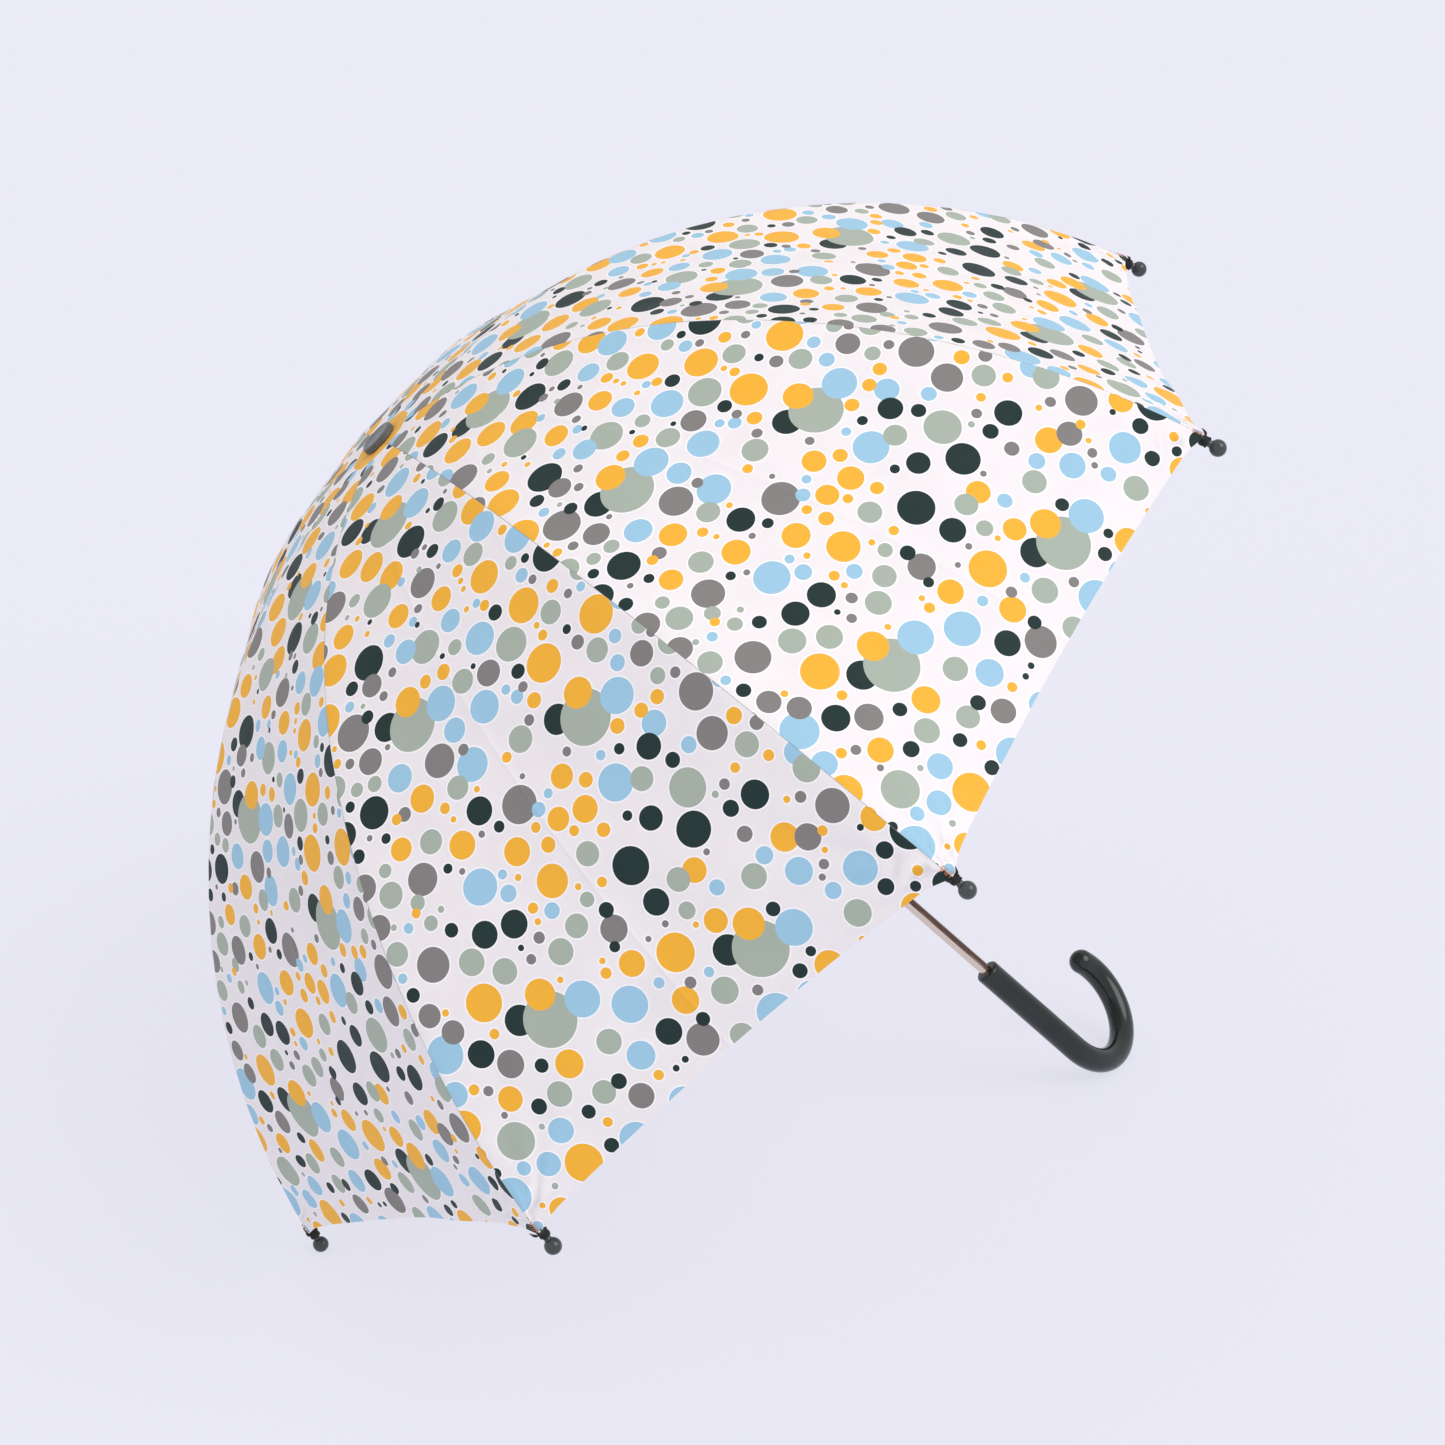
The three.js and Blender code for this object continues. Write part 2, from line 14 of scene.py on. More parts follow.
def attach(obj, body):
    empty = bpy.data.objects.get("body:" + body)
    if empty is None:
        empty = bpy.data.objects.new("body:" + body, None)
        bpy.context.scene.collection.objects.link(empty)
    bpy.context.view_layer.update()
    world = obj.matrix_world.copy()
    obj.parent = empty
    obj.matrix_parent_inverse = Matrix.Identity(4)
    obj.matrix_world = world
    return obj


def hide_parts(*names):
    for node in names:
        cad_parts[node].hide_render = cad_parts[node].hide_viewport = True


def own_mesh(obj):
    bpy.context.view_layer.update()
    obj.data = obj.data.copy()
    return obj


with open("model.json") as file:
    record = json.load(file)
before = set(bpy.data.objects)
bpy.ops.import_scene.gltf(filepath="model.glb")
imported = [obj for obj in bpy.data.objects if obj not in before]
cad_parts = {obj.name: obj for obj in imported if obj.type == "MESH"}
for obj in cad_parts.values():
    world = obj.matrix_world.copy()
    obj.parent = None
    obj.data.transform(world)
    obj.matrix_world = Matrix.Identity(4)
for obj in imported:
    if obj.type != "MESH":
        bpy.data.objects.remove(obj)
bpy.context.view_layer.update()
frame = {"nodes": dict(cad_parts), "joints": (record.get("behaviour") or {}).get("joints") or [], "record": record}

MM = 0.001

# ------------------------------------------------------------ dimensions, as in the CAD

RIBS = 8
GORE_ANGLE = 2 * math.pi / RIBS
HALF_GORE = GORE_ANGLE / 2
UPPER_LENGTH = 218 * MM
UPPER_RADIUS = 338 * MM
LOWER_LENGTH = 265 * MM
LOWER_RADIUS = 424 * MM
RIB_LENGTH = UPPER_LENGTH + LOWER_LENGTH
START_SLOPE = math.radians(-2)
START_RADIUS = 10.6 * MM
HOLE_RADIUS = 9 * MM  # hidden under the cap, and clear of it when the ribs fold
SAG_SPAN = 20.0  # a gore of width w dips by w * w / SAG_SPAN at its middle
HEM_RISE = 5 * MM
HEM_MARGIN = 3 * MM
CORNER_PULL = 4 * MM  # the hem's corners are sewn out to the tips
CORNER_SHARE = 0.12
RIB_DEPTH = 3.25 * MM
SHAFT_RADIUS = 3.5 * MM
CAP_RADIUS = 10.8 * MM
CAP_BOTTOM = 0.3 * MM
CAP_TOP = 4.1 * MM
CLEARANCE = 0.35 * MM
BALL_RADIUS = 4.6 * MM
TIP_OFFSET = 9.5 * MM
TIP_NECK_RADIUS = 2.1 * MM
HANDLE_RADIUS = 7.7 * MM
HANDLE_GAP = 226 * MM
GRIP_LENGTH = 81 * MM
CROOK_RADIUS = 34.5 * MM
CROOK_SWEEP = math.radians(197)
CROOK_TURN = math.radians(68.5)
STRAP_LENGTH = 120 * MM
STRAP_WIDTH = 16 * MM
STRAP_SIDE = 0.4

# ------------------------------------------------------------ where the umbrella lies

joints = {joint["name"]: joint for joint in frame["joints"]}
mounts = {mount["name"]: mount for mount in frame["record"]["mounts"]}
UP = -Vector(joints["runner_slide"]["axis"]).normalized()
CROWN = Vector(mounts["cap_top"]["pos_m"]) - UP * CAP_TOP
DOWN_SIDE = Vector((-UP.z, 0, UP.x))
TO_ROW = Matrix.Translation(CROWN) @ Matrix((DOWN_SIDE, UP.cross(DOWN_SIDE), UP)).transposed().to_4x4()


def rib_azimuth(k):
    return HALF_GORE + k * GORE_ANGLE


def turned(azimuth):
    """From the umbrella's frame, turned about the shaft, to the row frame."""
    return TO_ROW @ Matrix.Rotation(azimuth, 4, "Z")


# ------------------------------------------------------------ seam line and gores


def seam_point(s):
    """Radius, height and slope of the seam line at distance s from the hub (arrays)."""
    s = np.asarray(s, float)
    bend = START_SLOPE + np.clip(s, 0, UPPER_LENGTH) / UPPER_RADIUS
    slope = bend + np.maximum(s - UPPER_LENGTH, 0) / LOWER_RADIUS
    r = START_RADIUS + UPPER_RADIUS * (np.sin(bend) - math.sin(START_SLOPE)) + np.minimum(s, 0)
    r = r + LOWER_RADIUS * (np.sin(slope) - np.sin(bend))
    z = UPPER_RADIUS * (np.cos(bend) - math.cos(START_SLOPE)) + LOWER_RADIUS * (np.cos(slope) - np.cos(bend))
    return r, z, np.where(s < 0, 0, slope)


def hem_distance(side):
    corner = np.clip(1 - (1 - np.abs(side)) / CORNER_SHARE, 0, 1) ** 2
    return RIB_LENGTH - HEM_MARGIN - HEM_RISE * (1 - side * side) + CORNER_PULL * corner


SEAM_ROUNDING = 0.6 * MM
SEAM_REACH = 2.6 * MM
PUCKER_PITCH = 6.5 * MM
TIP_FOLDS = 8
CREASE_HEIGHT = 0.4 * MM


def cloth_lift(s, side, half_width, gore):
    """How far the sewn, stretched cloth stands off a gore's smooth curve."""
    from_seam = (1 - np.abs(side)) * half_width
    from_middle = np.abs(side) * half_width
    room = np.minimum(1, half_width / (30 * MM))
    rounding = -SEAM_ROUNDING * np.exp(-from_seam / SEAM_REACH)
    pucker = 0.1 * MM * np.sin(2 * math.pi * s / PUCKER_PITCH + 2 * gore) * np.exp(-from_seam / (6 * MM))
    crease = CREASE_HEIGHT * np.exp(-from_middle / (1.6 * MM))
    tip_v = RIB_LENGTH - HEM_MARGIN - s
    reach = np.hypot(from_seam, tip_v) + 1e-6
    angle = np.arctan2(from_seam, np.maximum(tip_v, 1e-6))
    fade = np.exp(-reach / (75 * MM)) * np.clip(reach / (12 * MM), 0, 1)
    folds = 0.75 * MM * np.sin(2 * TIP_FOLDS * angle + np.sign(side) * 1.3 + gore) * fade * np.sin(angle * 2)
    u = side * half_width
    held = np.clip(from_seam / (40 * MM), 0, 1)
    broad = np.sin(u * 55 + s * 23 + 1.7 * gore) * np.sin(s * 31 + 0.9 * gore)
    fine = np.sin(u * 90 - s * 60 + 2.3 * gore)
    wave = 0.7 * MM * held * (broad + 0.5 * fine)
    hem = np.maximum(hem_distance(side) - s, 0)
    hem_bead = 0.3 * MM * np.exp(-(((hem - 6.5 * MM) / (1.2 * MM)) ** 2))
    return room * (rounding + pucker + crease + hem_bead) + folds + wave


def gore_point(s, side, gore, depth=0.0, smooth=False):
    """Points of a gore in its own turned frame: s along the seam, side from -1 to 1."""
    r, z, slope = seam_point(s)
    half_width = r * math.sin(HALF_GORE)
    dip = (2 * half_width) ** 2 / SAG_SPAN * (1 - side * side) + depth
    if not smooth:
        dip = dip - cloth_lift(s, side, half_width, gore)
    x = r * math.cos(HALF_GORE) - dip * np.sin(slope)
    return np.stack([x, side * half_width, z - dip * np.cos(slope)], -1)


def gore_normal(s, side, gore):
    step = 0.25 * MM
    along = gore_point(s + step, side, gore) - gore_point(s - step, side, gore)
    inside = np.clip(side, -0.9999, 0.9999)
    tilt = 0.004
    low, high = np.maximum(inside - tilt, -1), np.minimum(inside + tilt, 1)
    across = gore_point(s, high, gore) - gore_point(s, low, gore)
    normal = np.cross(along, across)
    return normal / np.linalg.norm(normal, axis=-1, keepdims=True)


# ------------------------------------------------------------ the print

INKS = {"dark": 0, "sage": 1, "blue": 2, "yellow": 3, "grey": 4}
INK_COLOURS = [
    (0.014, 0.034, 0.032),
    (0.385, 0.450, 0.378),
    (0.330, 0.575, 0.750),
    (0.900, 0.455, 0.040),
    (0.225, 0.214, 0.208),
]
SPOTS_PER_FACE = 6
RING = 0.75 * MM
SPOT_SEED = 20
MOTIFS = [(0.004, 0.105), (-0.032, 0.232), (0.050, 0.300), (-0.062, 0.405), (0.046, 0.448)]
SIZES = [  # radius in millimetres, most tries, how many are wanted, inks with their shares
    (9.6, 3000, 58, "dark dark yellow yellow sage blue blue grey grey"),
    (7.0, 4000, 98, "dark yellow sage blue grey grey blue sage yellow"),
    (4.2, 5000, 70, "yellow dark grey sage blue dark"),
    (2.9, 6000, 80, "dark grey yellow grey blue yellow"),
    (1.8, 6000, 60, "dark yellow grey sage yellow"),
]
GAP = 1.6  # millimetres between spots that don't overlap
OVERLAP_SHARE = 0.16


def motif(u, v):
    """A big sage spot with smaller ones set against it, in drawing order."""
    u, v = u / MM, v / MM
    return [
        (u - 13, v - 10, 8.0, INKS["dark"]), (u, v, 14.5, INKS["sage"]),
        (u + 4, v - 13, 8.2, INKS["yellow"]), (u + 20, v + 3, 9.4, INKS["blue"])]


def print_spots():
    """One gore's print as rows of u, v, radius and ink, in metres and in drawing order."""
    rng = np.random.default_rng(SPOT_SEED)
    spots = [(0, 2, 11.5, INKS["yellow"])]
    for u, v in MOTIFS:
        spots += motif(u, v)
    for radius, tries, wanted, inks in SIZES:
        inks = [INKS[name] for name in inks.split()]
        placed = 0
        for _ in range(tries):
            if placed == wanted:
                break
            v = rng.uniform(10, RIB_LENGTH / MM)
            half = seam_point(v * MM)[0] * math.sin(HALF_GORE) / MM + 5
            u = rng.uniform(-half, half)
            size = radius * rng.uniform(0.88, 1.08)
            ink = inks[rng.integers(len(inks))]
            near = np.array(spots)
            room = np.hypot(near[:, 0] - u, near[:, 1] - v) - near[:, 2] - size
            close = room < GAP
            overlaps = rng.uniform() < OVERLAP_SHARE
            bite = room.min() > -0.75 * size and close.sum() == 1 and near[close.argmax(), 3] != ink
            if close.any() and not (overlaps and bite and size < near[close.argmax(), 2] * 1.2):
                continue
            spots.append((u, v, size, ink))
            placed += 1
    spots = np.array(spots)
    spots[:, :3] *= MM
    return spots


PRINT = print_spots()


def spots_on_faces(low, high):
    """For each face's box in flat coordinates, its spots in drawing order."""
    found = np.zeros((len(low), SPOTS_PER_FACE, 4), np.float32)
    found[:, :, 2] = -1
    for i, (lo, hi) in enumerate(zip(low, high)):
        nearest = np.clip(PRINT[:, :2], lo, hi)
        hit = np.flatnonzero(np.hypot(*(nearest - PRINT[:, :2]).T) < PRINT[:, 2] + RING)
        if len(hit) > SPOTS_PER_FACE:
            hit = np.sort(hit[np.argsort(-PRINT[hit, 2], kind="stable")[:SPOTS_PER_FACE]])
        found[i, :len(hit)] = PRINT[hit]
    return found


# ------------------------------------------------------------ materials


class Nodes:
    """A material's node tree, with short calls to add and link nodes."""

    def __init__(self, tree):
        self.tree = tree

    def add(self, kind, inputs=None, **settings):
        node = self.tree.nodes.new(kind)
        for key, value in settings.items():
            setattr(node, key, value)
        for key, value in (inputs or {}).items():
            socket = node.inputs[key]
            if isinstance(value, bpy.types.NodeSocket):
                self.tree.links.new(value, socket)
            else:
                socket.default_value = value
        return node

    def math(self, operation, a, b=0.0):
        return self.add("ShaderNodeMath", {0: a, 1: b}, operation=operation).outputs[0]

    def mix(self, factor, a, b):
        node = self.add("ShaderNodeMix", data_type="RGBA")
        for key, value in ((0, factor), (6, a), (7, b)):
            if isinstance(value, bpy.types.NodeSocket):
                self.tree.links.new(value, node.inputs[key])
            else:
                node.inputs[key].default_value = value if key == 0 else (*value[:3], 1)
        return node.outputs[2]

    def noise(self, vector, scale, detail=3.0):
        inputs = {"Vector": vector, "Scale": scale, "Detail": detail}
        return self.add("ShaderNodeTexNoise", inputs).outputs["Fac"]

    def spread(self, value, low, high, to_low, to_high):
        inputs = {"Value": value, "From Min": low, "From Max": high, "To Min": to_low, "To Max": to_high}
        return self.add("ShaderNodeMapRange", inputs).outputs[0]


def new_material(name, **sockets):
    """A material with a Principled shader, its plain numbers set on the shader's own sockets."""
    made = bpy.data.materials.new(name)
    made.use_nodes = True
    nodes = Nodes(made.node_tree)
    shader = made.node_tree.nodes["Principled BSDF"]
    for key, value in sockets.items():
        shader.inputs[key.replace("_", " ")].default_value = value
    return made, nodes, shader


def link(nodes, output, socket):
    nodes.tree.links.new(output, socket)


def moulded(name, light, dark, grain, rough, bump, **sockets):
    """Plastic or metal with a mottled colour, uneven gloss and a fine surface grain."""
    made, nodes, shader = new_material(name, **sockets)
    where = nodes.add("ShaderNodeTexCoord").outputs["Object"]
    cloud = nodes.noise(where, grain / 6)
    fine = nodes.noise(where, grain * 4)
    link(nodes, nodes.mix(nodes.spread(cloud, 0.35, 0.65, 0, 1), dark, light), shader.inputs["Base Color"])
    link(nodes, nodes.spread(cloud, 0.3, 0.7, *rough), shader.inputs["Roughness"])
    dent = nodes.add("ShaderNodeBump", {"Height": fine, "Strength": 0.25, "Distance": bump})
    link(nodes, dent.outputs[0], shader.inputs["Normal"])
    return made


def drawn_metal(name, light, dark, rough, along=UP):
    """Metal with fine draw lines along the umbrella."""
    made, nodes, shader = new_material(name, Metallic=1.0)
    where = nodes.add("ShaderNodeTexCoord").outputs["Object"]
    turn = along.rotation_difference(Vector((0, 0, 1))).to_euler()
    mapping = nodes.add(
        "ShaderNodeMapping", {"Vector": where, "Rotation": turn, "Scale": (1, 1, 0.02)}, vector_type="POINT")
    lines = nodes.noise(mapping.outputs[0], 2600, 2)
    cloud = nodes.noise(where, 60)
    link(nodes, nodes.mix(nodes.spread(cloud, 0.3, 0.7, 0, 1), dark, light), shader.inputs["Base Color"])
    link(nodes, nodes.spread(lines, 0.3, 0.7, *rough), shader.inputs["Roughness"])
    dent = nodes.add("ShaderNodeBump", {"Height": lines, "Strength": 0.15, "Distance": 0.02 * MM})
    link(nodes, dent.outputs[0], shader.inputs["Normal"])
    return made


# Painted reflection on the shaft: pale ground on the side facing this direction, a dark room on the side turned
# away, brownish where it turns furthest away.
PAINTED_PALE_SIDE = (-0.65, -0.31, -0.61)
PAINTED_REFLECTION_DARK = (0.13, 0.080, 0.066)
PAINTED_REFLECTION_EDGE = (0.40, 0.30, 0.25)
PAINTED_REFLECTION_PALE = (0.74, 0.63, 0.55)


def plated_tube(name):
    """Plating painted as if it showed a dark room above and pale ground below."""
    made, nodes, shader = new_material(name, Metallic=1.0)
    coordinates = nodes.add("ShaderNodeTexCoord").outputs
    sides = {0: coordinates["Normal"], 1: PAINTED_PALE_SIDE}
    facing = nodes.add("ShaderNodeVectorMath", sides, operation="DOT_PRODUCT").outputs["Value"]
    cloud = nodes.noise(coordinates["Object"], 60)
    uneven = nodes.math("ADD", facing, nodes.spread(cloud, 0.3, 0.7, -0.04, 0.04))
    # Painted reflection: pale where the face points down towards the ground, dark where it points up towards the
    # room.
    colour = nodes.mix(nodes.spread(uneven, -0.14, 0.02, 0, 1), PAINTED_REFLECTION_DARK, PAINTED_REFLECTION_PALE)
    colour = nodes.mix(nodes.spread(uneven, -0.92, -0.78, 1, 0), colour, PAINTED_REFLECTION_EDGE)
    link(nodes, colour, shader.inputs["Base Color"])
    link(nodes, nodes.spread(cloud, 0.3, 0.7, 0.14, 0.24), shader.inputs["Roughness"])
    return made


CLOTH_WHITE = (0.87, 0.835, 0.85)
RING_WHITE = (0.95, 0.94, 0.95)
# Painted shade: a thin dark line in the crease along each seam, in this colour and this wide.
SEAM_SHADE = (0.22, 0.22, 0.23)
PAINTED_CREASE_WIDTH = 0.24 * MM
WEAVE_PITCH = 0.45 * MM
HEM_STITCH = 6 * MM
HEM_STITCH_WIDTH = 0.3 * MM
STITCH_RATE = 2400
STITCH_HEIGHT = 12.0


def weave_height(nodes, flat):
    """Plain weave: two crossed sets of threads."""
    parts = nodes.add("ShaderNodeSeparateXYZ", {0: flat}).outputs
    turns = [nodes.math("MULTIPLY", parts[i], 2 * math.pi / WEAVE_PITCH) for i in (0, 1)]
    waves = [nodes.math("SINE", turn) for turn in turns]
    return nodes.math("MULTIPLY", *waves)


def spotted_cloth():
    """White pongee with the round spots that each face's attributes hold."""
    made, nodes, shader = new_material("spotted_cloth", Sheen_Weight=0.05, Specular_IOR_Level=0.16)
    flat = nodes.add("ShaderNodeAttribute", attribute_name="flat").outputs["Vector"]
    edge = nodes.add("ShaderNodeAttribute", attribute_name="edge").outputs["Vector"]
    distances = []
    for i in range(SPOTS_PER_FACE):
        spot = nodes.add("ShaderNodeAttribute", attribute_name=f"spot_{i}")
        parts = nodes.add("ShaderNodeSeparateXYZ", {0: spot.outputs["Vector"]}).outputs
        centre = nodes.add("ShaderNodeCombineXYZ", {0: parts[0], 1: parts[1], 2: 0.0}).outputs[0]
        apart = nodes.add("ShaderNodeVectorMath", {0: flat, 1: centre}, operation="DISTANCE").outputs["Value"]
        distances.append((nodes.math("SUBTRACT", apart, parts[2]), spot.outputs["Alpha"]))
    ring = 0.0
    for outside, _ in distances:
        ring = nodes.math("MAXIMUM", nodes.math("LESS_THAN", outside, RING), ring)
    cloud = nodes.noise(flat, 45, 2)
    plain = nodes.mix(nodes.spread(cloud, 0.3, 0.7, 0, 1), [0.96 * c for c in CLOTH_WHITE], CLOTH_WHITE)
    colour = nodes.mix(ring, plain, RING_WHITE)
    for outside, ink in distances:
        ramp = nodes.add("ShaderNodeValToRGB", {"Fac": nodes.math("ADD", ink, 0.1)})
        ramp.color_ramp.interpolation = "CONSTANT"
        stops = ramp.color_ramp.elements
        for index, rgb in enumerate(INK_COLOURS):
            stop = stops[index] if index < 2 else stops.new(index / len(INK_COLOURS))
            stop.position = index / len(INK_COLOURS)
            stop.color = (*rgb, 1)
        colour = nodes.mix(nodes.math("LESS_THAN", outside, 0.0), colour, ramp.outputs[0])
    parts = nodes.add("ShaderNodeSeparateXYZ", {0: edge}).outputs
    # Painted shade along the seam's crease.
    painted_crease_shade = nodes.math("LESS_THAN", parts[0], PAINTED_CREASE_WIDTH)
    colour = nodes.mix(nodes.math("MULTIPLY", painted_crease_shade, 0.75), colour, SEAM_SHADE)
    link(nodes, colour, shader.inputs["Base Color"])
    link(nodes, nodes.spread(cloud, 0.3, 0.7, 0.52, 0.68), shader.inputs["Roughness"])
    from_stitch = nodes.math("ABSOLUTE", nodes.math("SUBTRACT", parts[1], HEM_STITCH))
    stitch = nodes.math("LESS_THAN", from_stitch, HEM_STITCH_WIDTH)
    across = nodes.add("ShaderNodeSeparateXYZ", {0: flat}).outputs[0]
    along = nodes.math("SINE", nodes.math("MULTIPLY", across, STITCH_RATE))
    sewn = nodes.math("MULTIPLY", stitch, nodes.math("GREATER_THAN", along, -0.4))
    height = nodes.math("ADD", weave_height(nodes, flat), nodes.math("MULTIPLY", sewn, STITCH_HEIGHT))
    dent = nodes.add("ShaderNodeBump", {"Height": height, "Strength": 0.6, "Distance": 0.008 * MM})
    link(nodes, dent.outputs[0], shader.inputs["Normal"])
    return made


materials = {
    "cloth": spotted_cloth(),
    "strap": moulded("strap_cloth", (0.82, 0.79, 0.81), (0.76, 0.73, 0.75), 900, (0.6, 0.75), 0.05 * MM),
    "handle": moulded(
        "glossy_handle", (0.011, 0.018, 0.018), (0.007, 0.012, 0.012), 300, (0.13, 0.18), 0.004 * MM),
    "cap": moulded(
        "cap_plastic", (0.105, 0.120, 0.125), (0.080, 0.095, 0.100), 600, (0.32, 0.44), 0.03 * MM),
    "tip": moulded(
        "tip_plastic", (0.045, 0.058, 0.060), (0.032, 0.043, 0.045), 400, (0.10, 0.15), 0.005 * MM),
    "nylon": moulded(
        "black_nylon", (0.022, 0.025, 0.026), (0.014, 0.016, 0.017), 700, (0.42, 0.58), 0.06 * MM),
    "thread": moulded(
        "black_thread", (0.020, 0.022, 0.024), (0.010, 0.011, 0.012), 3000, (0.7, 0.9), 0.1 * MM),
    "orange": moulded(
        "orange_thread", (0.85, 0.30, 0.10), (0.65, 0.20, 0.07), 3000, (0.7, 0.9), 0.1 * MM),
    "chrome": plated_tube("chrome_tube"),
    "steel": drawn_metal("rib_steel", (0.55, 0.56, 0.58), (0.42, 0.43, 0.45), (0.30, 0.48)),
    "spring": drawn_metal("spring_wire", (0.62, 0.62, 0.62), (0.50, 0.50, 0.51), (0.25, 0.4)),
}

# ------------------------------------------------------------ mesh helpers


def mesh_object(name, points, faces, material, to_row=None, smooth=True):
    """A mesh object in the row frame from points in the umbrella's (or a turned) frame."""
    mesh = bpy.data.meshes.new(name)
    mesh.from_pydata([tuple(p) for p in np.asarray(points, float)], [], faces)
    mesh.transform(to_row if to_row is not None else TO_ROW)
    mesh.materials.append(materials[material])
    mesh.polygons.foreach_set("use_smooth", [smooth] * len(mesh.polygons))
    made = bpy.data.objects.new(name, mesh)
    bpy.context.scene.collection.objects.link(made)
    return made


def sharpen(obj, angle=35):
    obj.data.set_sharp_from_angle(angle=math.radians(angle))
    return obj


def grid_faces(rows, columns, closed=False):
    """Quads over a grid of points in row order; closed joins the last column to the first."""
    across = columns if closed else columns - 1
    faces = []
    for i in range(rows - 1):
        for j in range(across):
            k = (j + 1) % columns
            faces.append((i * columns + j, i * columns + k, (i + 1) * columns + k, (i + 1) * columns + j))
    return faces


def lathe(outline, sides, flute=None):
    """Points and faces of an outline turned about z; flute(angle, row) adds to the radius."""
    points = [(0, 0, outline[0][1])]
    for row, (r, z) in enumerate(outline):
        for j in range(sides):
            angle = 2 * math.pi * j / sides
            radius = r + (flute(angle, row) if flute else 0)
            points.append((radius * math.cos(angle), radius * math.sin(angle), z))
    points.append((0, 0, outline[-1][1]))
    faces = [tuple(1 + k for k in face) for face in grid_faces(len(outline), sides, closed=True)]
    last = 1 + (len(outline) - 1) * sides
    faces += [(0, 1 + (j + 1) % sides, 1 + j) for j in range(sides)]
    faces += [(len(points) - 1, last + j, last + (j + 1) % sides) for j in range(sides)]
    return points, faces


def arc(centre, radius, start, end, steps):
    """Points of an arc in an outline, angles in degrees from +r towards +z."""
    angles = np.radians(np.linspace(start, end, steps))
    return [(centre[0] + radius * math.cos(a), centre[1] + radius * math.sin(a)) for a in angles]


def tube(centres, radii, sides):
    """Points and faces of a round tube through the centres, with flat fans at its ends."""
    centres = np.asarray(centres, float)
    tangents = np.gradient(centres, axis=0)
    tangents /= np.linalg.norm(tangents, axis=1, keepdims=True)
    side = np.cross(tangents[0], (0.3, 0.5, 0.8))
    points = []
    for centre, tangent, radius in zip(centres, tangents, radii):
        side = side - tangent * side.dot(tangent)
        side /= np.linalg.norm(side)
        other = np.cross(tangent, side)
        for j in range(sides):
            angle = 2 * math.pi * j / sides
            points.append(centre + radius * (math.cos(angle) * side + math.sin(angle) * other))
    faces = grid_faces(len(centres), sides, closed=True)
    last = (len(centres) - 1) * sides
    faces.append(tuple(range(sides))[::-1])
    faces.append(tuple(last + j for j in range(sides)))
    return points, faces


# ------------------------------------------------------------ canopy

SEAM_OFFSETS = np.array([0, 0.5, 1.1, 1.9, 2.9, 4.2]) * MM
MIDDLE_OFFSETS = np.array([3.2, 1.4, 0.6, 0]) * MM
PLAIN_COLUMNS = 20
UPPER_ROWS = 42
LOWER_ROWS = 52
HEM_TURN = 7 * MM
FLAP = 24 * MM
FLAP_DEPTH = 0.5 * MM
FLAP_ROWS = 5
KEEP_UPPER = 0.26
PIVOT_RADIUS = 9.5 * MM
FOLD_ANGLE = math.radians(67)
UNDERLAP_DEPTH = 0.5 * MM
UNDERLAP_COLUMNS = 3


def underlap(s):
    """How far an upper panel runs on under the next one, so that they still meet when squashed and folded."""
    r, z, _ = seam_point(s)
    folded = PIVOT_RADIUS + (r - PIVOT_RADIUS) * math.cos(FOLD_ANGLE) + (z + RIB_DEPTH) * math.sin(FOLD_ANGLE)
    half_width = r * math.sin(HALF_GORE)
    wanted = (folded * math.sin(HALF_GORE) + 1 * MM) / KEEP_UPPER - half_width
    return np.clip(wanted, 0, 0.9 * half_width)


def column_shares(half_width, extra=None):
    """Shares of the way from the seam to the gore's middle, closer together at both.

    extra is how far the columns run on past the middle.
    """
    squeeze = np.minimum(1, half_width / (22 * MM))[:, None]
    near = SEAM_OFFSETS[None, :] * squeeze
    far = half_width[:, None] - MIDDLE_OFFSETS[None, :] * squeeze
    between = np.linspace(0, 1, PLAIN_COLUMNS + 2)[1:-1]
    start, end = near[:, -1:], far[:, :1]
    offsets = [near, start + (end - start) * between, far]
    if extra is not None:
        offsets.append(half_width[:, None] + extra[:, None] * np.linspace(0, 1, UNDERLAP_COLUMNS + 1)[1:])
    return np.concatenate(offsets, 1) / half_width[:, None]


def panel_rows(lower):
    """Each row as (share of the way from its start to its end, depth under the face, is it the inner hem).

    A lower panel starts with its flap, which has negative shares and lies under the upper panel.
    """
    if not lower:
        return [(i / UPPER_ROWS, 0.0, False) for i in range(UPPER_ROWS + 1)]
    rows = [(-1 + i / FLAP_ROWS, FLAP_DEPTH, False) for i in range(FLAP_ROWS)]
    rows += [(i / LOWER_ROWS, 0.0, False) for i in range(LOWER_ROWS + 1)]
    turn = HEM_TURN / LOWER_LENGTH
    return rows + [(1.0, 0.5 * MM, True), (1 - turn / 2, 0.55 * MM, True), (1 - turn, 0.6 * MM, True)]


